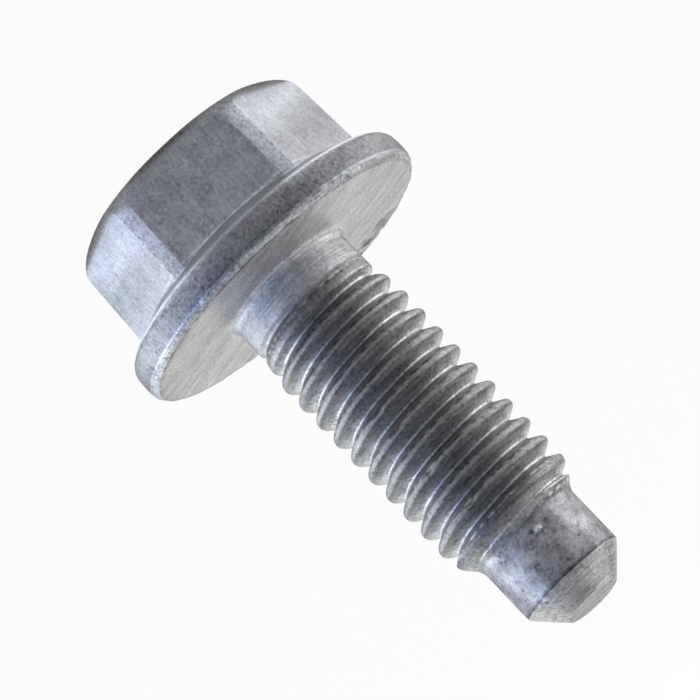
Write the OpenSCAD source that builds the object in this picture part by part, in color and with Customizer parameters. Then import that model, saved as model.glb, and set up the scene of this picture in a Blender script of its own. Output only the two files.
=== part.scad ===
// Hex flange bolt with a rolled thread and a pilot point.
// One forged piece: hex head, flange, short plain shank, thread, pilot and coned tip.
// It stands on its head: Z = 0 is the top of the head and +Z runs along the shank to the tip.
// Two flats of the hex face -Y and +Y.

/* [Head] */
// Width across the flats of the hex
across_flats = 13; // [12:0.1:14]
// Diameter over the turned corners of the hex, at its foot
across_corners = 14.55; // [14.3:0.05:14.95]
// Draft of the flats, which lean in from the foot towards the top
flat_draft = 1.5; // [0:0.1:2]
// Draft of the turned corners
corner_draft = 2.2; // [0.5:0.1:3]
// Height of the head, from its top to the bearing face under the flange
head_h = 7.65; // [6.5:0.05:9]
// Radius that rounds the top of the corners down from the flat top
crown_r = 1; // [0.6:0.05:2]

/* [Flange] */
// Diameter over the rim of the flange
flange_d = 17.45; // [16:0.05:20]
// Diameter of the flat bearing face
bearing_d = 16.9; // [15:0.05:17.2]
// Height of the rim, from the bearing face to the start of the sloping top
rim_h = 1.7; // [1.3:0.05:2.2]
// Height of the bevel between the bearing face and the rim
rim_bevel_h = 0.3; // [0.1:0.05:0.4]
// Radius of the edge between the rim and the sloping top
rim_edge_r = 0.4; // [0.1:0.05:0.6]
// Angle of the sloping top above the level
slope_angle = 24; // [15:1:30]

/* [Shank] */
// Diameter of the plain shank under the flange
shank_d = 7.06; // [6.8:0.05:7.3]
// Length of the plain shank that the rolling dies leave whole
shank_len = 1.4; // [0.9:0.1:4]
// Radius of the fillet between the bearing face and the shank
shank_fillet_r = 0.4; // [0.2:0.05:0.6]

/* [Thread] */
// Pitch of the right-hand thread
thread_pitch = 1.25; // [1:0.05:1.35]
// Diameter over the crests of the thread
thread_d = 7.68; // [7.6:0.02:8]
// Radius of the rounded crests
crest_r = 0.28; // [0.15:0.01:0.3]
// Radius of the rounded roots
root_r = 0.11; // [0.08:0.005:0.16]
// Length over which the first groove sinks in below the plain shank
groove_runout = 1.25; // [0.8:0.1:3]
// Length over which the first crest rises, counted from the middle of the groove's run-out
crest_runout = 2.2; // [1:0.1:4]
// Height above the bearing face at which a crest passes the -X side, which turns the whole thread
crest_level = 4.6; // [4:0.05:5.2]

/* [Pilot] */
// Length from the bearing face to the end of the thread's neck, where the pilot is at its full size
neck_end = 17.2; // [12:0.1:30]
// Angle of the neck to the axis
neck_angle = 42; // [30:1:50]
// Length of the neck's cone, before the gentler lead over the last crests
neck_len = 0.8; // [0.5:0.1:1.4]
// Angle of that lead to the axis
lead_angle = 14; // [5:1:25]
// Radius of the hollow where the neck meets the pilot
neck_hollow_r = 0.8; // [0.3:0.1:1.2]
// Diameter of the pilot
pilot_d = 5.84; // [5:0.02:5.9]
// Length of the round pilot, between the neck and the coned tip
pilot_len = 3.3; // [3:0.1:6]
// Length of the coned tip, to the middle of its cropped end
tip_len = 1.45; // [1:0.05:2.4]
// Diameter of the cropped end
tip_end_d = 3.1; // [1:0.1:4]
// Angle by which the end is cropped out of square, low on the -Y side
crop_tilt = 4.5; // [0:0.5:8]

/* [Hidden] */
$fn = 96;
shank_r = shank_d / 2;
pilot_r = pilot_d / 2;
flange_r = flange_d / 2;
// Levels along the axis
bearing_z = head_h;
rim_top_z = bearing_z - rim_h;
hex_foot_z = rim_top_z - (flange_d - across_flats) / 2 * tan(slope_angle);
groove_start_z = bearing_z + shank_len;
crest_start_z = groove_start_z + groove_runout / 2;
neck_end_z = bearing_z + neck_end;
tip_start_z = neck_end_z + pilot_len;
tip_z = tip_start_z + tip_len;
// Step down from the shank or the neck to what is rolled beside it
roll_step = 0.02;
// Flanks of the thread stand at half of 60 degrees to a plane across the axis
flank_angle = 30;
arc_angle = 90 - flank_angle;
// The flanks fill what the crest's and the root's arcs leave of half a pitch
crest_half = crest_r * sin(arc_angle);
root_half = root_r * sin(arc_angle);
flank_w = thread_pitch / 2 - crest_half - root_half;
flank_h = flank_w / tan(flank_angle);
crest_drop = crest_r * (1 - cos(arc_angle));
root_rise = root_r * (1 - cos(arc_angle));
crest_radius = thread_d / 2;
root_radius = crest_radius - crest_drop - flank_h - root_rise;
// Steps of the thread's surface around one turn
turn_steps = 32;
// Sunk ends of the threaded rod, hidden in the shank and in the pilot
start_sink = thread_pitch;
end_sink = 0.9;
end_fall = 2;
rod_core_r = pilot_r / 2;

function smooth(t) = let(c = min(1, max(0, t))) c * c * (3 - 2 * c);

// One pitch of the thread from root to root: place along the axis and radius
thread_profile = [
    [0, root_radius],
    [root_half, root_radius + root_rise],
    [thread_pitch / 2 - crest_half, crest_radius - crest_drop],
    [thread_pitch / 2 - crest_r * sin(arc_angle / 2), crest_radius - crest_r * (1 - cos(arc_angle / 2))],
    [thread_pitch / 2, crest_radius],
    [thread_pitch / 2 + crest_r * sin(arc_angle / 2), crest_radius - crest_r * (1 - cos(arc_angle / 2))],
    [thread_pitch / 2 + crest_half, crest_radius - crest_drop],
    [thread_pitch - root_half, root_radius + root_rise],
];

// Radius of the neck's cone at a level, before its hollow
function neck_radius(z) = pilot_r + (neck_end_z - z) * tan(neck_angle);

// Radius of the gentler lead that takes over from the neck's cone
lead_z = neck_end_z - neck_len;
function lead_radius(z) = neck_radius(lead_z) + (lead_z - z) * tan(lead_angle);

// The neck's cone starts just outside the roots of the thread
neck_in_r = max(root_radius, pilot_r) + roll_step * 2;
neck_in_z = neck_end_z - (neck_in_r - pilot_r) / tan(neck_angle);

// The rod's skin: the shank's radius, the thread's as it runs in, and the neck's cone over its end
function rolled_radius(r, z) =
    let(base = shank_r - roll_step)
    r < base
        ? base + (r - base) * smooth((z - groove_start_z) / groove_runout)
        : base + (r - base) * smooth((z - crest_start_z) / crest_runout);
function end_radius(z) =
    z < neck_in_z
        ? min(neck_radius(z), lead_radius(z)) + roll_step
        : max(rod_core_r, neck_radius(z) + roll_step - (z - neck_in_z) * end_fall);
function rod_radius(r, z) = min(rolled_radius(r, z), end_radius(z));

// Rows of the skin climb with the helix, and a turn further on each row is the row one pitch up
rod_start_z = groove_start_z - start_sink;
// From the +X side, where each turn starts with a root, the crest on the -X side is one pitch up
phase_z = bearing_z + crest_level - thread_pitch;
rod_first_z = phase_z - thread_pitch * ceil((phase_z - rod_start_z) / thread_pitch);
rod_turns = ceil((neck_in_z + end_sink - rod_first_z) / thread_pitch);
profile_steps = len(thread_profile);
rod_rows = rod_turns * profile_steps;

function rod_point(row, step) =
    let(
        p = thread_profile[row % profile_steps],
        z = rod_first_z + thread_pitch * (floor(row / profile_steps) + step / turn_steps) + p[0],
        r = rod_radius(p[1], z),
        a = 360 * step / turn_steps
    )
    [r * cos(a), r * sin(a), z];

module threaded_rod() {
    row_count = rod_rows + 1;
    points = [
        for (row = [0 : rod_rows]) for (step = [0 : turn_steps - 1]) rod_point(row, step),
        for (row = [0 : profile_steps]) rod_point(rod_rows + row, 0),
        [0, 0, rod_first_z + thread_pitch / 2],
        [0, 0, rod_first_z + thread_pitch * (rod_turns + 0.5)]
    ];
    extra = row_count * turn_steps;
    start_centre = extra + profile_steps + 1;
    end_centre = start_centre + 1;
    // Index of a point, where a step past the turn is step 0 of the row one pitch up
    function at(row, step) =
        step < turn_steps ? row * turn_steps + step
        : row + profile_steps <= rod_rows ? (row + profile_steps) * turn_steps
        : extra + row + profile_steps - rod_rows;
    skin = [
        for (row = [0 : rod_rows - 1]) for (step = [0 : turn_steps - 1])
            each [
                [at(row, step), at(row + 1, step), at(row + 1, step + 1)],
                [at(row, step), at(row + 1, step + 1), at(row, step + 1)]
            ]
    ];
    start_cap = [
        for (step = [0 : turn_steps - 1]) [start_centre, at(0, step), at(0, step + 1)],
        for (row = [0 : profile_steps - 1]) [start_centre, at(row + 1, 0), at(row, 0)]
    ];
    end_cap = [
        for (step = [0 : turn_steps - 1]) [end_centre, at(rod_rows, step + 1), at(rod_rows, step)],
        for (row = [0 : profile_steps - 1])
            [end_centre, extra + row, extra + row + 1]
    ];
    polyhedron(points = points, faces = concat(skin, start_cap, end_cap), convexity = 20);
}

// Block outside one flat of the hex, leaning in by the draft about the hex's foot
module flat_cut() {
    cut = across_corners;
    translate([across_flats / 2, 0, hex_foot_z])
        rotate([0, flat_draft, 0])
            translate([0, -cut / 2, -cut])
                cube([cut, cut, 2 * cut]);
}

// Turned blank of the head: a round crown and coned sides that become the corners
module head_blank() {
    function blank_r(z) = across_corners / 2 - (hex_foot_z - z) * tan(corner_draft);
    crown_flat_r = blank_r(crown_r) - crown_r / cos(corner_draft);
    rotate_extrude() {
        polygon([
            [0, 0],
            [crown_flat_r, 0],
            [crown_flat_r + crown_r * cos(corner_draft), crown_r * (1 - sin(corner_draft))],
            [blank_r(rim_top_z), rim_top_z],
            [0, rim_top_z]
        ]);
        translate([crown_flat_r, crown_r]) circle(r = crown_r);
    }
}

module hex_head() {
    color("lightsteelblue")
        difference() {
            head_blank();
            for (side = [0 : 5]) rotate(30 + 60 * side) flat_cut();
        }
}

module flange() {
    // The rim's edge is round between the upright rim and the sloping top
    edge_reach = rim_edge_r * tan((90 - slope_angle) / 2);
    slope_run = [edge_reach * cos(slope_angle), edge_reach * sin(slope_angle)];
    rim_foot_z = bearing_z - rim_bevel_h;
    top_z = rim_top_z - flange_r * tan(slope_angle);
    color("silver")
        rotate_extrude() {
            polygon([
                [0, bearing_z],
                [bearing_d / 2, bearing_z],
                [flange_r, rim_foot_z],
                [flange_r, rim_top_z + edge_reach],
                [flange_r - slope_run[0], rim_top_z - slope_run[1]],
                [0, top_z]
            ]);
            translate([flange_r - rim_edge_r, rim_top_z + edge_reach]) circle(r = rim_edge_r);
        }
}

module shank() {
    color("lightsteelblue")
        rotate_extrude() {
            translate([0, bearing_z - rim_h / 2]) square([shank_r, rim_h / 2 + shank_len]);
            difference() {
                translate([0, bearing_z - rim_h / 2])
                    square([shank_r + shank_fillet_r, rim_h / 2 + shank_fillet_r]);
                translate([shank_r + shank_fillet_r, bearing_z + shank_fillet_r]) circle(r = shank_fillet_r);
            }
        }
}

module thread() {
    color("slategray") threaded_rod();
}

// Block beyond the cropped end
module crop_cut() {
    cut = 2 * pilot_d;
    translate([0, 0, tip_z])
        rotate([crop_tilt, 0, 0])
            translate([-cut / 2, -cut / 2, 0])
                cube(cut);
}

module pilot() {
    hollow_reach = neck_hollow_r * tan(neck_angle / 2);
    // The cone runs on past the end, to half the end's radius, and is cropped there
    end_r = tip_end_d / 2;
    spare_len = end_r / 2 * tip_len / (pilot_r - end_r);
    color("silver")
        difference() {
            rotate_extrude() {
                polygon([
                    [0, neck_in_z],
                    [neck_in_r, neck_in_z],
                    [pilot_r, neck_end_z],
                    [pilot_r, tip_start_z],
                    [end_r / 2, tip_z + spare_len],
                    [0, tip_z + spare_len]
                ]);
                // Hollow between the neck and the pilot
                difference() {
                    polygon([
                        [0, neck_end_z - hollow_reach],
                        [pilot_r + hollow_reach * sin(neck_angle), neck_end_z - hollow_reach * cos(neck_angle)],
                        [pilot_r, neck_end_z],
                        [pilot_r, neck_end_z + hollow_reach],
                        [0, neck_end_z + hollow_reach]
                    ]);
                    translate([pilot_r + neck_hollow_r, neck_end_z + hollow_reach]) circle(r = neck_hollow_r);
                }
            }
            crop_cut();
        }
}

module flange_bolt() {
    hex_head();
    flange();
    shank();
    thread();
    pilot();
}

flange_bolt();
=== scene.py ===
import math

import bmesh
import bpy
import numpy as np
from mathutils import Matrix, Vector


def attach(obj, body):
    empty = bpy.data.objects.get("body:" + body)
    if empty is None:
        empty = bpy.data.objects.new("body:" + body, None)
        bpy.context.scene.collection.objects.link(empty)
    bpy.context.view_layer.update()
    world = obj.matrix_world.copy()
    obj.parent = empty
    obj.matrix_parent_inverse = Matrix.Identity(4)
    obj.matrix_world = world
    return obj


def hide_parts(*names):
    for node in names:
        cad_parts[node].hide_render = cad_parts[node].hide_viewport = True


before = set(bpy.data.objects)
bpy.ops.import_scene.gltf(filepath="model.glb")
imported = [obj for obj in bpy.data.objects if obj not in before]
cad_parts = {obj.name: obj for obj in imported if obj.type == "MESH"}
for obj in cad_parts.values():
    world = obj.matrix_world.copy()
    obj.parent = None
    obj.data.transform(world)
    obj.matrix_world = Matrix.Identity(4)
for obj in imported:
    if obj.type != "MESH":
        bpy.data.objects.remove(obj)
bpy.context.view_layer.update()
bpy.ops.object.select_all(action='DESELECT')

# The head of the bolt, upset from round steel wire in a hex die and zinc plated with the rest. Half its
# section is drawn and spun round the axis as the round blank, in millimetres. The six flats are pressed
# in afterwards, so the spin sets its columns close together beside the corners.

ACROSS_FLATS = 13.0
CORNER_R = 14.55 / 2
HEAD_H = 7.65
CROWN_R = 1.0
FLANGE_R = 17.45 / 2
BEARING_R = 16.9 / 2
RIM_BULGE = 0.08
RIM_R = FLANGE_R - RIM_BULGE
RIM_TOP = HEAD_H - 1.7
RIM_FOOT = HEAD_H - 0.3
RIM_ROUND = 0.4
EDGE_ROUND = 0.06
SLOPE = math.radians(24)
FLAT_DRAFT = math.tan(math.radians(1.5))
CORNER_DRAFT = math.tan(math.radians(2.2))
HEX_FOOT = RIM_TOP - (FLANGE_R - ACROSS_FLATS / 2) * math.tan(SLOPE)
TOP_RING_R = 5.0
FOOT_FILLET_FROM = 4.6
FOOT_FILLET_TO = 5.3
SEAM_R = 4.8
NEAR = 1e-4


def corner_radius(z):
    return CORNER_R - (HEX_FOOT - z) * CORNER_DRAFT


def slope_radius(z):
    return FLANGE_R - (RIM_TOP - z) / math.tan(SLOPE)


def pick(test):
    """Selects what passes a test of its place, in the mesh that is in edit mode."""
    mesh = bmesh.from_edit_mesh(bpy.context.object.data)
    for part in list(mesh.faces) + list(mesh.edges) + list(mesh.verts):
        part.select_set(False)
    for vertex in mesh.verts:
        if test(vertex.co):
            vertex.select_set(True)
    mesh.select_flush(True)
    bmesh.update_edit_mesh(bpy.context.object.data)


def draw_section(name, corners):
    """A line of edges through corners of (radius, level, rounding, rounding steps, cuts on the way)."""
    bpy.ops.object.select_all(action='DESELECT')
    bpy.ops.mesh.primitive_plane_add(size=0.1, location=(0, 0, 0))
    bpy.context.object.name = name
    bpy.ops.object.mode_set(mode='EDIT')
    bpy.ops.mesh.select_mode(type='VERT')
    bpy.ops.mesh.merge(type='CENTER')
    bpy.ops.transform.translate(value=(corners[0][0], 0, corners[0][1]))
    places = [Vector((corner[0], 0, corner[1])) for corner in corners]
    for start, end in zip(places, places[1:]):
        bpy.ops.mesh.extrude_region_move(TRANSFORM_OT_translate={"value": end - start})
    for start, end, after, corner in zip(places, places[1:], places[2:], corners[1:]):
        rounding = corner[2]
        if rounding:
            reach = rounding * math.tan((end - start).angle(after - end) / 2)
            pick(lambda place: (place - end).length < NEAR)
            bpy.ops.mesh.bevel(offset=reach, segments=corner[3], profile=0.5, affect='VERTICES')
    for start, end, corner in zip(places, places[1:], corners[1:]):
        cuts = corner[4]
        if cuts:
            way = (end - start).normalized()
            length = (end - start).length
            pick(lambda place: -NEAR < (place - start).dot(way) < length + NEAR
                 and (place - start).cross(way).length < NEAR)
            bpy.ops.mesh.subdivide(number_cuts=cuts)
    return bpy.context.object


def merge_doubles():
    """Merges what lies in one place in the active piece, and leaves the object mode on."""
    bpy.ops.object.mode_set(mode='EDIT')
    bpy.ops.mesh.select_all(action='SELECT')
    bpy.ops.mesh.remove_doubles(threshold=NEAR)
    bpy.ops.object.mode_set(mode='OBJECT')


def spin_section(turns):
    """Spins the line by a list of (degrees, steps) and leaves the object mode on."""
    bpy.ops.mesh.select_all(action='SELECT')
    for degrees, steps in turns:
        bpy.ops.mesh.spin(steps=steps, angle=math.radians(degrees), center=(0, 0, 0), axis=(0, 0, 1))
    merge_doubles()


head = draw_section("forged_bolt", [
    (0, 0, 0, 0, 0),
    (TOP_RING_R, 0, 0, 0, 4),
    (corner_radius(0), 0, CROWN_R, 26, 4),
    (corner_radius(FOOT_FILLET_FROM), FOOT_FILLET_FROM, 0, 0, 18),
    (corner_radius(FOOT_FILLET_TO), FOOT_FILLET_TO, 0, 0, 16),
    (RIM_R, RIM_TOP, RIM_ROUND, 8, 12),
    (RIM_R, RIM_FOOT, EDGE_ROUND, 3, 7),
    (BEARING_R, HEAD_H, EDGE_ROUND, 3, 3),
    (SEAM_R, HEAD_H, 0, 0, 12),
])
half_corner = (2.5, 2)
beside_corner = (2.5, 8)
along_flat = (50, 28)
spin_section([half_corner, beside_corner, along_flat, beside_corner, half_corner] * 6)

# The six flats of the head. The die pushes the blank's side in to the hex, square to the axis, and leaves a
# small round edge along each flat, a rolled-over edge at the crown and a small fillet at the foot. The rim of
# the flange bulges a little, where the metal ran out of the die.

FLAT_EDGE = 0.02
CROWN_EDGE = 0.22
CROWN_EDGE_H = 0.35
FOOT_EDGE = 0.16
TOP_FACE_R = 5.5
SLOPE_END = RIM_TOP - 0.15
BULGE_FROM = RIM_TOP - 0.1
BULGE_IN = 0.4


def places_of(piece):
    points = np.empty(len(piece.data.vertices) * 3)
    piece.data.vertices.foreach_get("co", points)
    return points.reshape(-1, 3)


def put_places(piece, points):
    piece.data.vertices.foreach_set("co", points.ravel())
    piece.data.update()


def widen(points, share):
    """Moves points away from the axis or in to it, square to the axis."""
    points[:, 0] *= share
    points[:, 1] *= share


def smooth_low(a, b, soft):
    """The lower of two radii, with the edge between them rounded."""
    near = np.clip(1 - np.abs(a - b) / soft, 0, None)
    return np.minimum(a, b) - near * near * soft / 4


def smooth_high(a, b, soft):
    return -smooth_low(-a, -b, soft)


def degrees_round(points):
    return np.degrees(np.arctan2(points[:, 1], points[:, 0]))


def flat_radius(degrees, z):
    """How far out the nearest flat lies, at an angle round the head and a level."""
    from_middle = np.radians((degrees % 60) - 30)
    return (ACROSS_FLATS / 2 - (HEX_FOOT - z) * FLAT_DRAFT) / np.cos(from_middle)


points = places_of(head)
radius = np.hypot(points[:, 0], points[:, 1])
level = points[:, 2]
crown = np.where(level < CROWN_R * (1 - CORNER_DRAFT), radius, corner_radius(level))
flat = flat_radius(degrees_round(points), level)
edge = FLAT_EDGE + CROWN_EDGE * np.exp(-(level / CROWN_EDGE_H) ** 2)
pressed = smooth_high(smooth_low(crown, flat, edge), slope_radius(level), FOOT_EDGE)
up_rim = np.clip((level - BULGE_FROM) / (HEAD_H - BULGE_FROM), 0, 1)
outer = np.clip((radius - BEARING_R + BULGE_IN) / BULGE_IN, 0, 1)
bulged = radius + RIM_BULGE * np.sin(math.pi * up_rim) * outer
side = (level > NEAR / 10) & (level < SLOPE_END) & (radius > TOP_FACE_R)
widen(points, np.where(radius < NEAR, 1, np.where(side, pressed, bulged) / np.maximum(radius, NEAR)))
put_places(head, points)

# The plain shank under the head, left at the wire's own size, with the fillet that joins it to the bearing
# face. Its end is the ring on which the thread starts.

SHANK_R = 3.53
FILLET_R = 0.4
THREAD_FROM = 8.5
ROUND_STEPS = 144

shank = draw_section("shank", [
    (SEAM_R - FILLET_R, HEAD_H + 0.002, 0, 0, 0),
    (SHANK_R, HEAD_H, FILLET_R, 8, 3),
    (SHANK_R, THREAD_FROM, 0, 0, 5),
])
spin_section([(360, ROUND_STEPS)])

# The thread, M8 x 1.25, right hand, rolled between dies after the shank. One pitch of the plain skin is drawn
# as an upright line and wound up the shank as a screw, and its first and last turns are drawn together into
# plain rings. Then it is rolled: each point goes to the thread's radius at its place along the helix.

PITCH = 1.25
TURNS = 15
THREAD_TO = THREAD_FROM + (TURNS - 1) * PITCH
CREST_R = 3.84
CREST_ROUND = 0.28
ROOT_ROUND = 0.11
CREST_AT = HEAD_H + 4.6
FLANK_ANGLE = math.radians(30)
SINK_FROM = HEAD_H + 1.35
SINK_LENGTH = 1.25
RISE_FROM = HEAD_H + 2.0
RISE_LENGTH = 2.2
PILOT_R = 2.92
NECK_END = HEAD_H + 17.2
NECK_LENGTH = 0.8
NECK_ANGLE = math.radians(42)
LEAD_ANGLE = math.radians(14)
NECK_EDGE = 0.15
NECK_HOLLOW = 0.3
CUT_EDGE = 0.08

# Rows over one pitch, as shares of it: the root lies at both ends and the crest in the middle.
ROOT_TO = 0.105
CREST_FROM = 0.35
CREST_TO = 0.65
ROOT_FROM = 0.895

rows = [0, 0.035, 0.07, ROOT_TO]
rows += [ROOT_TO + (CREST_FROM - ROOT_TO) * step / 5 for step in range(1, 5)]
rows += [CREST_FROM + (CREST_TO - CREST_FROM) * step / 9 for step in range(0, 10)]
rows += [CREST_TO + (ROOT_FROM - CREST_TO) * step / 5 for step in range(1, 6)]
rows += [0.93, 0.965, 1]
thread = draw_section("thread", [
    (SHANK_R, THREAD_FROM - PITCH + PITCH * row, 0, 0, 0) for row in rows])
bpy.ops.object.mode_set(mode='OBJECT')
wind = thread.modifiers.new("wind", 'SCREW')
wind.angle = math.radians(360)
wind.screw_offset = PITCH
wind.iterations = TURNS
wind.steps = wind.render_steps = ROUND_STEPS
wind.use_merge_vertices = False
bpy.ops.object.modifier_apply(modifier="wind")
merge_doubles()


def turn_of(points):
    """The angle round the bolt, in turns from 0 to 1."""
    return (np.arctan2(points[:, 1], points[:, 0]) / (2 * math.pi)) % 1


def ease(t):
    t = np.clip(t, 0, 1)
    return t * t * (3 - 2 * t)


def rolled_radius(turn, z):
    """Radius of the thread at an angle in turns and a level, with its run-outs and its neck."""
    pitches = (z - CREST_AT) / PITCH - (turn - 0.5)
    off_crest = np.abs((pitches + 0.5) % 1 - 0.5) * PITCH
    off_root = PITCH / 2 - off_crest
    slant = math.tan(FLANK_ANGLE)
    arc = math.pi / 2 - FLANK_ANGLE
    crest = CREST_R - CREST_ROUND + np.sqrt(np.clip(CREST_ROUND ** 2 - off_crest ** 2, 0, None))
    flank_top = CREST_R - CREST_ROUND * (1 - math.cos(arc))
    flank = flank_top - (off_crest - CREST_ROUND * math.sin(arc)) / slant
    flank_foot = flank_top - (PITCH / 2 - (CREST_ROUND + ROOT_ROUND) * math.sin(arc)) / slant
    root_centre = flank_foot + ROOT_ROUND * math.cos(arc)
    root = root_centre - np.sqrt(np.clip(ROOT_ROUND ** 2 - off_root ** 2, 0, None))
    full = np.where(off_crest < CREST_ROUND * math.sin(arc), crest,
                    np.where(off_root < ROOT_ROUND * math.sin(arc), root, flank))
    sink = ease((z - SINK_FROM) / SINK_LENGTH)
    rise = ease((z - RISE_FROM) / RISE_LENGTH)
    run_in = SHANK_R + (full - SHANK_R) * np.where(full < SHANK_R, sink, rise)
    cone = PILOT_R + (NECK_END - z) * math.tan(NECK_ANGLE)
    lead_foot = PILOT_R + NECK_LENGTH * math.tan(NECK_ANGLE)
    lead = lead_foot + (NECK_END - NECK_LENGTH - z) * math.tan(LEAD_ANGLE)
    neck = smooth_high(smooth_low(cone, lead, NECK_EDGE), PILOT_R, NECK_HOLLOW)
    return np.where(z > NECK_END + 0.5, PILOT_R, smooth_low(run_in, neck, CUT_EDGE))


points = places_of(thread)
turn = turn_of(points)
turn = np.where(turn > 1 - 1e-5, 0, turn)
climb = (points[:, 2] - (THREAD_FROM - PITCH)) / PITCH - turn
first = THREAD_FROM + PITCH * climb * turn
last = THREAD_TO - PITCH * np.clip(TURNS - climb, 0, None) * (1 - turn)
points[:, 2] = np.where(climb < 1, first, np.where(climb > TURNS - 1, last, points[:, 2]))
put_places(thread, points)
merge_doubles()

points = places_of(thread)
rolled = rolled_radius(turn_of(points), points[:, 2])
widen(points, rolled / np.hypot(points[:, 0], points[:, 1]))
put_places(thread, points)

# The pilot. The plain round end that finds the hole before the thread takes, with a coned tip. The bar is
# cropped a little out of square, which tilts the end face and the last of the cone.

TIP_FROM = NECK_END + 3.3
TIP_Z = TIP_FROM + 1.45
TIP_END_R = 1.55
TIP_FROM_ROUND = 0.1
TIP_END_ROUND = 0.08
TILT_FROM = TIP_FROM + 0.3
CROP_TILT = math.tan(math.radians(4.5))

pilot = draw_section("pilot", [
    (PILOT_R, THREAD_TO, 0, 0, 0),
    (PILOT_R, TIP_FROM, TIP_FROM_ROUND, 3, 9),
    (TIP_END_R, TIP_Z, TIP_END_ROUND, 3, 9),
    (0, TIP_Z, 0, 0, 8),
])
spin_section([(360, ROUND_STEPS)])


def cone_radius(z):
    return PILOT_R - (z - TIP_FROM) * (PILOT_R - TIP_END_R) / (TIP_Z - TIP_FROM)


points = places_of(pilot)
radius = np.hypot(points[:, 0], points[:, 1])
level = points[:, 2].copy()
up_tip = np.clip((level - TILT_FROM) / (TIP_Z - TILT_FROM), 0, 1)
tilted = level + points[:, 1] * CROP_TILT * up_tip
on_tip = (up_tip > 0) & (radius > TIP_END_R - TIP_FROM_ROUND)
widen(points, np.where(on_tip, cone_radius(tilted) / cone_radius(level), 1))
points[:, 2] = tilted
put_places(pilot, points)

# One forging. The four lengths of skin are joined into one closed piece, in millimetres, and brought to
# its real size in metres.

JOIN_GAP = 2e-4
MILLIMETRE = 0.001

bpy.ops.object.select_all(action='DESELECT')
for piece in (shank, thread, pilot, head):
    piece.select_set(True)
bpy.context.view_layer.objects.active = head
bpy.ops.object.join()
bolt = bpy.context.object
bpy.ops.object.mode_set(mode='EDIT')
bpy.ops.mesh.select_all(action='SELECT')
bpy.ops.mesh.remove_doubles(threshold=JOIN_GAP)
bpy.ops.mesh.select_all(action='DESELECT')
mesh = bmesh.from_edit_mesh(bolt.data)
for edge in mesh.edges:
    edge.select_set(len(edge.link_faces) == 1)
bmesh.update_edit_mesh(bolt.data)
bpy.ops.mesh.bridge_edge_loops()
bpy.ops.mesh.select_all(action='SELECT')
bpy.ops.mesh.normals_make_consistent(inside=False)
bpy.ops.transform.resize(value=(MILLIMETRE, MILLIMETRE, MILLIMETRE), center_override=(0, 0, 0))
bpy.ops.object.mode_set(mode='OBJECT')
bpy.ops.object.shade_smooth()

# Marks of handling. Steel this soft nicks where bolts knock together in the tub: the thread's crests are
# nicked in four places, a pip stands on the pilot beside a small pit, one flat has a long shallow dent, and
# a stretch of the bearing face's edge is pitted. The edges of the flange and the pilot are a little uneven.

NICK_R = 3.8
NICKS = ((291.8, 16.17), (289.5, 17.45), (294.0, 20.0), (287.9, 22.44))
NICK_TAIL = (0.25, 0, 0.08)
PIP_TURN = 262.8
PIP_Z = 25.6
PIT_BESIDE = (0.30, 0, -0.03)
SCORE_BESIDE = (0.45, 0, 0.35)
DENT_FROM = (5.25, -3.76, 2.08)
DENT_TO = (6.49, -1.62, 2.17)
DENT_REACH = 0.20
DENT_STEPS = 9
PITS = 90
FLANGE_DINGS = 700
PILOT_DINGS = 260


def spot(degrees, r, z):
    return np.array((r * math.cos(math.radians(degrees)), r * math.sin(math.radians(degrees)), z))


def press(place, reach, depth, stretch=1.0):
    """Presses the skin in around a place. The mark is longer round the bolt by the stretch."""
    off = points - place
    round_way = np.array((-place[1], place[0], 0)) / math.hypot(place[0], place[1])
    along = off @ round_way
    across = off - np.outer(along, round_way)
    distance = (along / stretch) ** 2 + (across ** 2).sum(axis=1)
    points[:] -= normals * (depth * np.exp(-distance / reach ** 2))[:, None]


points = places_of(bolt) / MILLIMETRE
normals = np.empty(len(bolt.data.vertices) * 3)
bolt.data.vertices.foreach_get("normal", normals)
normals = normals.reshape(-1, 3)
dice = np.random.default_rng(8)

nicks = [spot(degrees, NICK_R, z) for degrees, z in NICKS]
for nick in nicks:
    press(nick, reach=0.20, depth=0.13, stretch=1.7)
    press(nick + NICK_TAIL, reach=0.13, depth=0.07)
pip = spot(PIP_TURN, PILOT_R, PIP_Z)
pit_by_pip = pip + PIT_BESIDE
press(pip, reach=0.14, depth=-0.15)
press(pit_by_pip, reach=0.12, depth=0.10)
press(pip + SCORE_BESIDE, reach=0.20, depth=0.02, stretch=3.0)
dent_way = np.subtract(DENT_TO, DENT_FROM)
for part_way in np.linspace(0, 1, DENT_STEPS):
    press(DENT_FROM + dent_way * part_way, DENT_REACH, depth=0.014 + 0.012 * part_way)
for _ in range(PITS):
    pit = spot(dice.uniform(112, 144), dice.uniform(6.7, 8.3), HEAD_H)
    press(pit, reach=dice.uniform(0.12, 0.26), depth=dice.uniform(0.02, 0.06))
for _ in range(FLANGE_DINGS):
    degrees = dice.uniform(0, 360)
    edge_r = dice.choice((FLANGE_R, BEARING_R))
    ding = spot(degrees, edge_r, RIM_FOOT if edge_r == FLANGE_R else HEAD_H)
    press(ding, reach=dice.uniform(0.08, 0.22), depth=dice.uniform(0.0, 0.025))
for _ in range(PILOT_DINGS):
    ding = spot(dice.uniform(0, 360), PILOT_R, TIP_FROM)
    press(ding, reach=dice.uniform(0.08, 0.15), depth=dice.uniform(0.0, 0.02))
put_places(bolt, points * MILLIMETRE)

# Where the finish differs, and where light and shade are painted on it. The zinc is dark on the rolled-over
# crown.
# The rim and most of the thread are painted darker, and the bearing face, the shank and the cropped cone
# lighter:
# painted light and shade. The corners and the bevel have a coarser skin, and each length is lined the way it
# was formed. Each share of it is kept on the mesh under a name.

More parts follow.
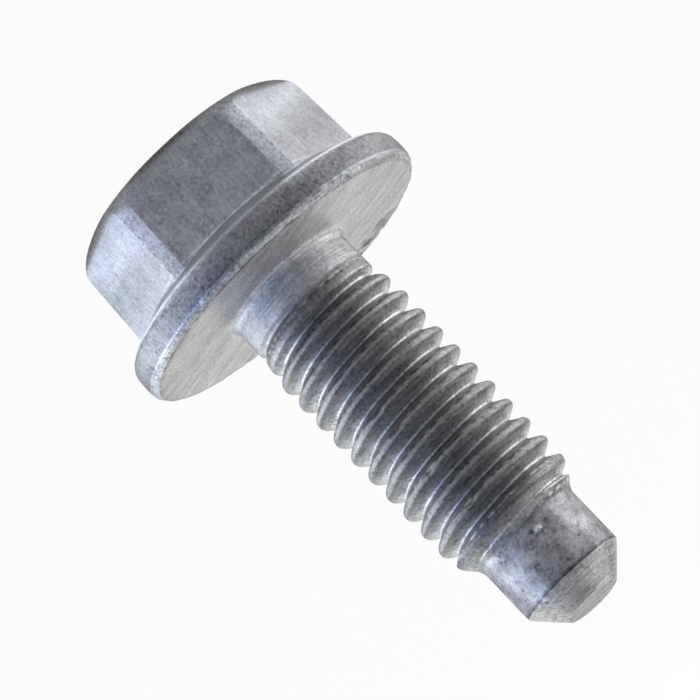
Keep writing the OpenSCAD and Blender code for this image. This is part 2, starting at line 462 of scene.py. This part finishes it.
CROWN_SKIN_H = 0.6
BEVEL_FROM = RIM_FOOT + 0.02
# Painted light on the flange's slope is strongest round this angle and fades within the reach, in degrees.
SLOPE_PAINTED_LIGHT_AT = 270
SLOPE_PAINTED_LIGHT_REACH = 35
# Painted shade on the cone is deepest round this angle.
CONE_PAINTED_SHADE_AT = 271
# Painted shade on the thread is deepest round this angle.
THREAD_PAINTED_SHADE_AT = 272
# Painted light on the rim faces this angle, toward the window lamps.
RIM_PAINTED_LIGHT_AT = 340
RIM_PAINTED_LIGHT = 0.08
# How light each zone's zinc is made: painted light and shade, except the crown, whose skin is darker in
# itself.
FLAT_TONE = 0.73
CORNER_TONE = 0.70
CORNER_HIGHLIGHT = 0.22
SLOPE_TONE = 1.4
SLOPE_TONE_BESIDE = 0.85
RIM_TONE = 0.48
BEVEL_TONE = 1.8
BEVEL_END_TONE = 2.2
SEAT_TONE = 2.02
CONE_TONE = 1.92
CONE_FRONT_PAINTED_SHADE = 0.35
END_TONE = 2.1
CROWN_DARKER = 0.62
SHANK_LIGHTER = 0.62
PILOT_DARKER = 0.17
NECK_LIGHTER = 0.4

# Painted light and shade across one turn of the thread: how light its zinc is made, from one root over the
# crest at 0 to the next root.
THREAD_LIGHT_AND_SHADE = ((-0.5, 0.85), (-0.46, 0.6), (-0.38, 0.47), (-0.29, 0.64), (-0.2, 0.43), (-0.12, 0.34),
                (-0.04, 0.57), (0.05, 0.66), (0.12, 0.60), (0.2, 0.80), (0.29, 0.98), (0.38, 1.5),
                (0.46, 1.55), (0.5, 1.1))


def note(name, values):
    """Keeps a value from 0 to 3 for each point of the skin."""
    spread = bolt.data.attributes.new(name, 'FLOAT', 'POINT')
    spread.data.foreach_set("value", np.clip(values, 0, 3).astype(np.float32))


def hump(distance, reach):
    return np.exp(-(distance / reach) ** 2)


def edge_line(r, z, reach):
    """How near a round edge of the bolt the skin is, from 0 to 1."""
    return hump(np.hypot(radius - r, level - z), reach)


def patch(place, reach):
    """How near a place the skin is, from 0 to 1."""
    return hump(np.linalg.norm(points - place, axis=1), reach)


points = places_of(bolt) / MILLIMETRE
radius = np.hypot(points[:, 0], points[:, 1])
level = points[:, 2]
degrees = degrees_round(points) % 360
flat = flat_radius(degrees, level)
from_crest = ((level - CREST_AT) / PITCH - (degrees / 360 - 0.5) + 0.5) % 1 - 0.5
from_front = np.abs((degrees - SLOPE_PAINTED_LIGHT_AT + 180) % 360 - 180)

on_side = (level > 0.02) & (level < RIM_TOP - 0.4)
off_flat = np.clip((flat - radius) / 0.02, 0, 1)
rolled_over = np.clip(1.3 - level / 0.36, 0, 1)
on_slope = (level > HEX_FOOT + 0.05) & (level < RIM_TOP - 0.12) & (radius > flat + 0.12)
on_rim = (level > RIM_TOP - 0.2) & (level < BEVEL_FROM) & (radius > FLANGE_R - 0.2)
on_bevel = (level >= BEVEL_FROM) & (level < HEAD_H + 0.01) & (radius > BEARING_R - 0.03)
on_seat = (level > HEAD_H - 0.02) & (level < HEAD_H + 0.1) & (radius < BEARING_R)
on_end = level > TIP_Z + points[:, 1] * CROP_TILT - 0.03
on_cone = (level > TIP_FROM - 0.02) & ~on_end
on_shank = ease((level - HEAD_H) / 0.15) * ease((HEAD_H + 2.3 - level) / 0.7)
on_thread = ease((level - HEAD_H - 1.6) / 0.7) * ease((NECK_END + 0.1 - level) / 0.3)
on_pilot = ease((level - NECK_END + 0.2) / 0.3)
on_neck = hump(level - NECK_END + 0.25, 0.35)

# Painted shade: the thread is made darker on its front, round 272 degrees, which faces the camera, and
# lighter round its sides and back.
turned_away = 1 - np.cos(np.radians(degrees - THREAD_PAINTED_SHADE_AT))
thread_painted_tone = np.interp(from_crest, *zip(*THREAD_LIGHT_AND_SHADE)) * np.clip(0.92 + turned_away, 0, 1.5)
# Painted light and shade: the shank and the neck are made lighter and the pilot a little darker, and the
# thread takes its painted light and shade across each turn.
zone_tone_and_painted_light = 1 + SHANK_LIGHTER * on_shank + (thread_painted_tone - 1) * on_thread * (1 - on_neck)
zone_tone_and_painted_light += NECK_LIGHTER * on_neck - PILOT_DARKER * on_pilot
# Painted highlight: a thin bright line on each corner, beside the edge of its flat.
corner_highlight = hump(flat - radius - 0.012, 0.014) * (off_flat > 0.15)
side_tone = FLAT_TONE + (CORNER_TONE - FLAT_TONE) * off_flat + CORNER_HIGHLIGHT * corner_highlight
zone_tone_and_painted_light = np.where(on_side, side_tone, zone_tone_and_painted_light)
# Painted light: the flange's slope is made lightest on its front, round 270 degrees, and darker more than 35
# degrees to either side.
beside = np.clip(from_front / SLOPE_PAINTED_LIGHT_REACH, 0, 1)
zone_tone_and_painted_light = np.where(on_slope, SLOPE_TONE + (SLOPE_TONE_BESIDE - SLOPE_TONE) * beside, zone_tone_and_painted_light)
# Painted light: the rim, painted dark as a whole, is made a little lighter on its side toward the window
# lamps.
rim_painted_light_side = np.clip(np.cos(np.radians(degrees - RIM_PAINTED_LIGHT_AT)), 0, 1)
zone_tone_and_painted_light = np.where(on_rim, RIM_TONE + RIM_PAINTED_LIGHT * rim_painted_light_side, zone_tone_and_painted_light)
# Painted light: the bevel is made light, and lighter still toward the bearing face.
up_bevel = np.clip((level - RIM_FOOT) / (HEAD_H - RIM_FOOT), 0, 1)
zone_tone_and_painted_light = np.where(on_bevel, BEVEL_TONE + (BEVEL_END_TONE - BEVEL_TONE) * up_bevel, zone_tone_and_painted_light)
# Painted light: the bearing face, the cone and the cropped end are made about twice as light as the plain
# zinc.
zone_tone_and_painted_light = np.where(on_seat, SEAT_TONE, zone_tone_and_painted_light)
# Painted shade: the cone is made darker on its front, round 271 degrees, which faces the camera.
zone_tone_and_painted_light = np.where(on_cone, CONE_TONE - CONE_FRONT_PAINTED_SHADE * hump(degrees - CONE_PAINTED_SHADE_AT, 22), zone_tone_and_painted_light)
zone_tone_and_painted_light = np.where(on_end, END_TONE, zone_tone_and_painted_light)
zone_tone_and_painted_light = np.where(level < CROWN_SKIN_H, zone_tone_and_painted_light * (1 - CROWN_DARKER * rolled_over), zone_tone_and_painted_light)

# Painted highlights and painted shade along edges: bright lines on the rim's foot, the top of the rim, the
# foot of the flats (brightest on the front) and the fillet, dark lines where the bevel meets the bearing face
# and at the foot of the cone, and a painted highlight on the pip.
zone_tone_and_painted_light += 0.8 * edge_line(RIM_R, RIM_FOOT, 0.06) - 0.5 * edge_line(BEARING_R - 0.03, HEAD_H, 0.05)
zone_tone_and_painted_light += 0.6 * edge_line(FLANGE_R - 0.20, RIM_TOP - 0.02, 0.08)
zone_tone_and_painted_light += np.where(level < RIM_TOP - 0.2, (0.8 - 0.6 * beside) * edge_line(flat, HEX_FOOT + 0.03, 0.075), 0)
zone_tone_and_painted_light += np.where(degrees < 300, 0.6, 0.2) * edge_line(SHANK_R + 0.12, HEAD_H + 0.12, 0.30)
zone_tone_and_painted_light -= 0.75 * edge_line(PILOT_R, TIP_FROM - 0.05, 0.06)
zone_tone_and_painted_light += 3.2 * patch(pip, 0.12)
note("zone_tone_and_painted_light", zone_tone_and_painted_light)

coarse_side = np.maximum(0.65 * off_flat, rolled_over)
coarse = np.where(on_side, coarse_side, 0.35 * on_pilot + 0.85 * on_thread)
note("coarse", np.where(on_bevel | on_rim, 1, coarse))
note("lined", np.where(on_cone, 1, np.maximum(on_shank, on_thread)))
note("seat", on_seat)
note("cropped", on_end)
note("pilot", on_pilot * ~on_cone * ~on_end)
cool = np.where(on_side | on_rim, 1, 0.65 - 0.2 * on_shank - 0.3 * on_thread)
note("cool", np.where(on_seat | on_cone | on_end, 0.15, cool))
note("rust", np.where(level < CROWN_SKIN_H, rolled_over, 0))
# Where the seam runs along the thread: its darker rough marks, and painted highlights in dashes along it.
note("seam_and_glints", hump(from_crest + 0.17, 0.05) * on_thread)
# Painted shade in the nicks on the crests and in the pit beside the pip.
note("painted_shade_in_nicks", np.max([patch(place, 0.24) for place in nicks + [pit_by_pip]], axis=0))
pitted = ease((degrees - 104) / 16) * ease((150 - degrees) / 16) * ease((radius - 5.9) / 1.6)
note("pitted", np.where(on_seat | on_bevel, pitted, 0))
note("drawn", on_side * (1 - off_flat) * (1 - rolled_over))
note("dull", 1.2 * on_shank + 0.4 * on_pilot + 0.6 * on_seat + 0.45 * on_thread * hump(from_crest, 0.11))

# The zinc plating. A thin grey coat over the whole forging, bluish where it is thick and warmer where it is
# thin, with a frosty grain. It shines dully, and the steel's own lines and scratches show through it.

WARM_ZINC = (0.345, 0.34, 0.335, 1)
COOL_ZINC = (0.325, 0.335, 0.375, 1)
RUST_TINGE = (0.34, 0.32, 0.31, 1)
SCRATCH_TURN = math.radians(40)
DARKEST = 0.25
BUMP_HEIGHT = 0.00003

zinc = bpy.data.materials.new("zinc_plating")
zinc.use_nodes = True
nodes = zinc.node_tree.nodes
links = zinc.node_tree.links
skin = nodes["Principled BSDF"]
skin.inputs["Metallic"].default_value = 0.8


def add(kind, sets=(), inputs=(), **options):
    """Adds a node with its options, the values set on its sockets and the sources linked to them."""
    made = nodes.new(kind)
    for key, value in options.items():
        setattr(made, key, value)
    for key, value in dict(sets).items():
        made.inputs[key].default_value = value
    for key, source in dict(inputs).items():
        links.new(source, made.inputs[key])
    return made


def millimetres(stretch=(1, 1, 1), turned=(0, 0, 0)):
    """Object coordinates in millimetres, stretched and turned for one pattern."""
    return add("ShaderNodeMapping", {"Scale": [MILLIMETRE / s for s in stretch], "Rotation": turned},
               {"Vector": skin_places.outputs["Object"]}, vector_type='TEXTURE').outputs["Vector"]


def noise(vector, scale, detail=3.0, roughness=0.55):
    return add("ShaderNodeTexNoise", {"Scale": scale, "Detail": detail, "Roughness": roughness},
               {"Vector": vector}, noise_dimensions='3D').outputs["Fac"]


def ranged(value, low, high, to_low, to_high):
    return add("ShaderNodeMapRange", {"From Min": low, "From Max": high, "To Min": to_low, "To Max": to_high},
               {"Value": value}).outputs["Result"]


def maths(operation, a, b):
    made = nodes.new("ShaderNodeMath")
    made.operation = operation
    for socket, value in zip(made.inputs, (a, b)):
        if isinstance(value, (int, float)):
            socket.default_value = value
        else:
            links.new(value, socket)
    return made.outputs["Value"]


def share(name):
    """One of the shares that are kept on the mesh."""
    return add("ShaderNodeAttribute", attribute_name=name, attribute_type='GEOMETRY').outputs["Fac"]


skin_places = add("ShaderNodeTexCoord")
plain = millimetres()
grain = noise(plain, 5.5, 3.0, 0.6)
fine = noise(plain, 13.0, 2.0, 0.6)
mottle = noise(plain, 1.0, 3.0)
specks = ranged(noise(plain, 3.4, 2.0, 0.5), 0.60, 0.70, 0, 1)
rolled_lines = noise(millimetres((0.25, 0.25, 7.0)), 1.6, 4.0, 0.6)
scratches = noise(millimetres((0.12, 1.6, 1.0), (0, 0, SCRATCH_TURN)), 1.5, 4.0, 0.65)
crop_lines = noise(millimetres((0.15, 1.6, 1.0)), 1.6, 3.0, 0.65)
drawn_lines = noise(millimetres((4.0, 4.0, 0.3)), 1.6, 4.0, 0.65)
pits = ranged(noise(millimetres((1.0, 0.6, 1.0)), 4.5, 3.0, 0.7), 0.48, 0.60, 0, 0.65)
seam_glint_dashes = ranged(noise(plain, 2.2, 3.0, 0.6), 0.46, 0.58, -0.45, 1.5)
coarse = share("coarse")
lined = share("lined")
seat = share("seat")
cropped = share("cropped")
pilot_skin = share("pilot")
pitted_skin = share("pitted")

# Colour: the grain everywhere, each part's own pattern, the seam with its painted highlights, dark specks,
# painted shade in the nicks, painted shade on faces seen at a grazing angle, and each zone's painted light
# and shade.
tone = maths('ADD', ranged(grain, 0.25, 0.75, 0.68, 1.32), ranged(fine, 0.25, 0.75, -0.22, 0.22))
tone = maths('ADD', tone, ranged(mottle, 0.25, 0.75, -0.16, 0.16))
for pattern, amount, part in (
        (mottle, 0.3, pilot_skin),
        (grain, 0.16, coarse),
        (rolled_lines, 0.25, lined),
        (scratches, 0.2, seat),
        (crop_lines, 0.40, cropped),
        (drawn_lines, 0.14, share("drawn"))):
    tone = maths('ADD', tone, maths('MULTIPLY', ranged(pattern, 0.3, 0.7, -amount, amount), part))
# The seam along the thread: darker rough marks, and painted highlights in dashes.
tone = maths('ADD', tone, maths('MULTIPLY', seam_glint_dashes, share("seam_and_glints")))
tone = maths('SUBTRACT', tone, maths('MULTIPLY', pits, pitted_skin))
speck_depth = maths('ADD', 0.10, maths('MULTIPLY', maths('ADD', coarse, pilot_skin), 0.25))
tone = maths('SUBTRACT', tone, maths('MULTIPLY', specks, speck_depth))
# Painted shade: the colour is darkened in the nicks and the pit.
tone = maths('MULTIPLY', tone, maths('SUBTRACT', 1.0, maths('MULTIPLY', share("painted_shade_in_nicks"), 0.55)))
# Painted shade: the colour is darkened where a face is seen at a grazing angle, so it changes with where the
# camera stands.
grazing = add("ShaderNodeLayerWeight", {"Blend": 0.5}).outputs["Facing"]
tone = maths('MULTIPLY', tone, ranged(grazing, 0.72, 0.94, 1.0, 0.55))
# Each zone's tone with its painted light and shade, kept on the mesh.
tone = maths('MULTIPLY', maths('MAXIMUM', tone, DARKEST), share("zone_tone_and_painted_light"))
colour = add("ShaderNodeMix", data_type='RGBA', blend_type='MIX', inputs={"Factor": share("cool")})
colour.inputs["A"].default_value = WARM_ZINC
colour.inputs["B"].default_value = COOL_ZINC
tinged = add("ShaderNodeMix", data_type='RGBA', blend_type='MIX',
             inputs={"Factor": share("rust"), "A": colour.outputs["Result"]})
tinged.inputs["B"].default_value = RUST_TINGE
toned = add("ShaderNodeVectorMath", inputs={0: tinged.outputs["Result"]}, operation='SCALE')
links.new(tone, toned.inputs["Scale"])
links.new(toned.outputs["Vector"], skin.inputs["Base Color"])

rough = maths('ADD', ranged(grain, 0.2, 0.8, 0.36, 0.46), maths('MULTIPLY', coarse, 0.06))
rough = maths('ADD', rough, maths('MULTIPLY', share("dull"), 0.20))
links.new(rough, skin.inputs["Roughness"])

height = maths('MULTIPLY', grain, maths('ADD', 0.35, maths('MULTIPLY', coarse, 0.4)))
height = maths('ADD', height, maths('MULTIPLY', fine, 0.12))
for pattern, amount, part in ((rolled_lines, 0.8, lined), (scratches, 0.3, seat), (crop_lines, 0.8, cropped)):
    height = maths('ADD', height, maths('MULTIPLY', maths('MULTIPLY', pattern, part), amount))
height = maths('SUBTRACT', height, maths('MULTIPLY', pits, pitted_skin))
bump = add("ShaderNodeBump", {"Strength": 1.0, "Distance": BUMP_HEIGHT}, {"Height": height})
links.new(bump.outputs["Normal"], skin.inputs["Normal"])

bolt.data.materials.clear()
bolt.data.materials.append(zinc)
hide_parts("flange_bolt")
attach(bolt, "root")

# The floor. A plain white sheet, larger than any view of the bolt takes in. It looks white to the camera
# and in the metal, and a share of it stays plain cloth, which keeps the bolt's shadow.

FLOOR_SIZE = 6
FLOOR_GLOW = 0.95

bpy.ops.object.select_all(action='DESELECT')
bpy.ops.mesh.primitive_plane_add(size=FLOOR_SIZE, location=(0, 0, 0))
floor = bpy.context.object
floor.name = "floor"
paper = bpy.data.materials.new("white_sheet")
paper.use_nodes = True
nodes = paper.node_tree.nodes
links = paper.node_tree.links
nodes.clear()
cloth = add("ShaderNodeBsdfDiffuse", {"Color": (0.86, 0.86, 0.86, 1)})
glow = add("ShaderNodeEmission", {"Color": (1, 1, 1, 1), "Strength": 1.0})
path = add("ShaderNodeLightPath")
seen = maths('MAXIMUM', path.outputs["Is Camera Ray"],
             maths('MAXIMUM', path.outputs["Is Glossy Ray"], path.outputs["Is Transmission Ray"]))
blend = add("ShaderNodeMixShader", inputs={0: maths('MULTIPLY', seen, FLOOR_GLOW)})
links.new(cloth.outputs[0], blend.inputs[1])
links.new(glow.outputs[0], blend.inputs[2])
add("ShaderNodeOutputMaterial", inputs={"Surface": blend.outputs[0]})
floor.data.materials.append(paper)

# Soft light. Large soft boxes stand low at both sides and behind, with weaker ones above, and thin light
# panels lie on the floor, which the bolt's upright faces mirror. The front stays dim. The room gives no
# light of its own.

BOX_DISTANCE = 0.5
BOLT_MIDDLE = Vector((0, 0, 0.014))
OVER_FLOOR = 0.0004
WHITE = (1.0, 1.0, 1.0)

world = bpy.data.worlds.new("room")
bpy.context.scene.world = world
world.use_nodes = True
world.node_tree.nodes["Background"].inputs["Strength"].default_value = 0.0


def light_panel(name, size_x, size_y, strength, tint):
    """A flat lamp that the camera doesn't see. Strength is the brightness of its face, where 1 is white."""
    lamp = bpy.data.lights.new(name, 'AREA')
    lamp.shape = 'RECTANGLE'
    lamp.size = size_x
    lamp.size_y = size_y
    lamp.energy = strength * math.pi * size_x * size_y
    lamp.color = tint
    panel = bpy.data.objects.new(name, lamp)
    bpy.context.scene.collection.objects.link(panel)
    panel.visible_camera = False
    return panel


def soft_box(name, azimuth, elevation, width, height, strength, tint=WHITE):
    """A soft box that looks at the bolt."""
    box = light_panel(name, width, height, strength, tint)
    turn, lift = math.radians(azimuth), math.radians(elevation)
    way = Vector((math.cos(turn) * math.cos(lift), math.sin(turn) * math.cos(lift), math.sin(lift)))
    box.location = BOLT_MIDDLE + way * BOX_DISTANCE
    box.rotation_euler = way.to_track_quat('Z', 'Y').to_euler()


def floor_panel(name, azimuth, near, far, width, strength, tint=WHITE):
    """A thin panel that lies on the floor from near to far, and shines up at the faces that mirror it."""
    panel = light_panel(name, far - near, width, strength, tint)
    turn = math.radians(azimuth)
    panel.location = (math.cos(turn) * (near + far) / 2, math.sin(turn) * (near + far) / 2, OVER_FLOOR)
    panel.rotation_euler = (math.pi, 0, turn)


soft_box("window", 10, 8, 0.26, 0.14, 9.0)
soft_box("sky_by_window", -20, 8, 0.26, 0.14, 6.0, (0.30, 0.52, 1.0))
soft_box("rim_painted_light_side", 40, 8, 0.26, 0.14, 1.4, (0.5, 0.75, 1.0))
soft_box("behind", 92, 9, 0.46, 0.15, 2.45, (1.0, 0.99, 0.96))
soft_box("wall_low", 162, 8, 0.24, 0.14, 4.8, (1.0, 1.0, 0.91))
soft_box("wall_front", 190, 8, 0.26, 0.14, 5.6)
soft_box("window_high", 35, 30, 0.30, 0.24, 0.9, (1.0, 0.95, 0.7))
soft_box("behind_high", 86, 30, 0.55, 0.24, 0.6)
soft_box("ceiling_wall_side", 160, 60, 0.40, 0.30, 1.3, (1.0, 0.98, 0.95))
soft_box("ceiling_window_side", 20, 60, 0.40, 0.30, 0.45)
soft_box("ceiling_front", 270, 62, 0.35, 0.30, 0.75)

floor_panel("window_sheet_foot", 332, 0.0066, 0.0105, 0.008, 1.7, (0.74, 0.85, 1.0))
floor_panel("window_sheet_near", 4, 0.0078, 0.012, 0.020, 1.5, (0.78, 0.86, 1.0))
floor_panel("window_sheet_far", 4, 0.020, 0.042, 0.020, 6.0, (0.86, 0.94, 1.0))
floor_panel("window_sheet_corner", 321, 0.0090, 0.020, 0.009, 2.0, (0.80, 0.88, 1.0))
floor_panel("wall_sheet_corner", 218, 0.0090, 0.019, 0.009, 1.3)
floor_panel("window_sheet_thread", 0, 0.048, 0.115, 0.055, 2.0, (0.80, 0.88, 1.0))
floor_panel("wall_sheet_thread", 172, 0.050, 0.110, 0.060, 3.0)
floor_panel("wall_sheet_foot", 208, 0.0066, 0.0105, 0.008, 1.45)
floor_panel("wall_sheet_near", 174, 0.0078, 0.012, 0.020, 1.25, (1.0, 1.0, 0.97))
floor_panel("wall_sheet_far", 174, 0.020, 0.032, 0.020, 3.7, (1.0, 0.97, 0.87))

# The camera. It looks down on the standing bolt from a little above and is rolled, so that the bolt lies
# slanting across the picture, which is 700 pixels wide.

VIEW_AZIMUTH = math.radians(271.4646)
VIEW_ELEVATION = math.radians(11.83)
VIEW_ROLL = math.radians(46.2)
VIEW_DISTANCE = 0.18125
AIM_HEIGHT = 0.0176
AIM_DOWN = 0.005127
AIM_ASIDE = 0.000117
PICTURE_PIXELS = 700
FOCAL_PIXELS = 3706
SENSOR_WIDTH = 36

toward = Vector((math.cos(VIEW_AZIMUTH) * math.cos(VIEW_ELEVATION),
                 math.sin(VIEW_AZIMUTH) * math.cos(VIEW_ELEVATION), math.sin(VIEW_ELEVATION)))
up_image = (Vector((0, 0, 1)) - toward * toward.z).normalized()
left_image = toward.cross(up_image)
aim = Vector((0, 0, AIM_HEIGHT)) - up_image * AIM_DOWN - left_image * AIM_ASIDE
right = up_image * math.cos(VIEW_ROLL) + left_image * math.sin(VIEW_ROLL)
up = left_image * math.cos(VIEW_ROLL) - up_image * math.sin(VIEW_ROLL)
camera_data = bpy.data.cameras.new("camera")
camera_data.lens = FOCAL_PIXELS / PICTURE_PIXELS * SENSOR_WIDTH
camera_data.sensor_width = SENSOR_WIDTH
camera_data.clip_start = 0.01
camera_data.clip_end = 20
camera = bpy.data.objects.new("camera", camera_data)
bpy.context.scene.collection.objects.link(camera)
place = Matrix((right, up, toward)).transposed().to_4x4()
place.translation = aim + toward * VIEW_DISTANCE
camera.matrix_world = place
bpy.context.scene.camera = camera
bpy.context.scene.view_settings.view_transform = 'Standard'
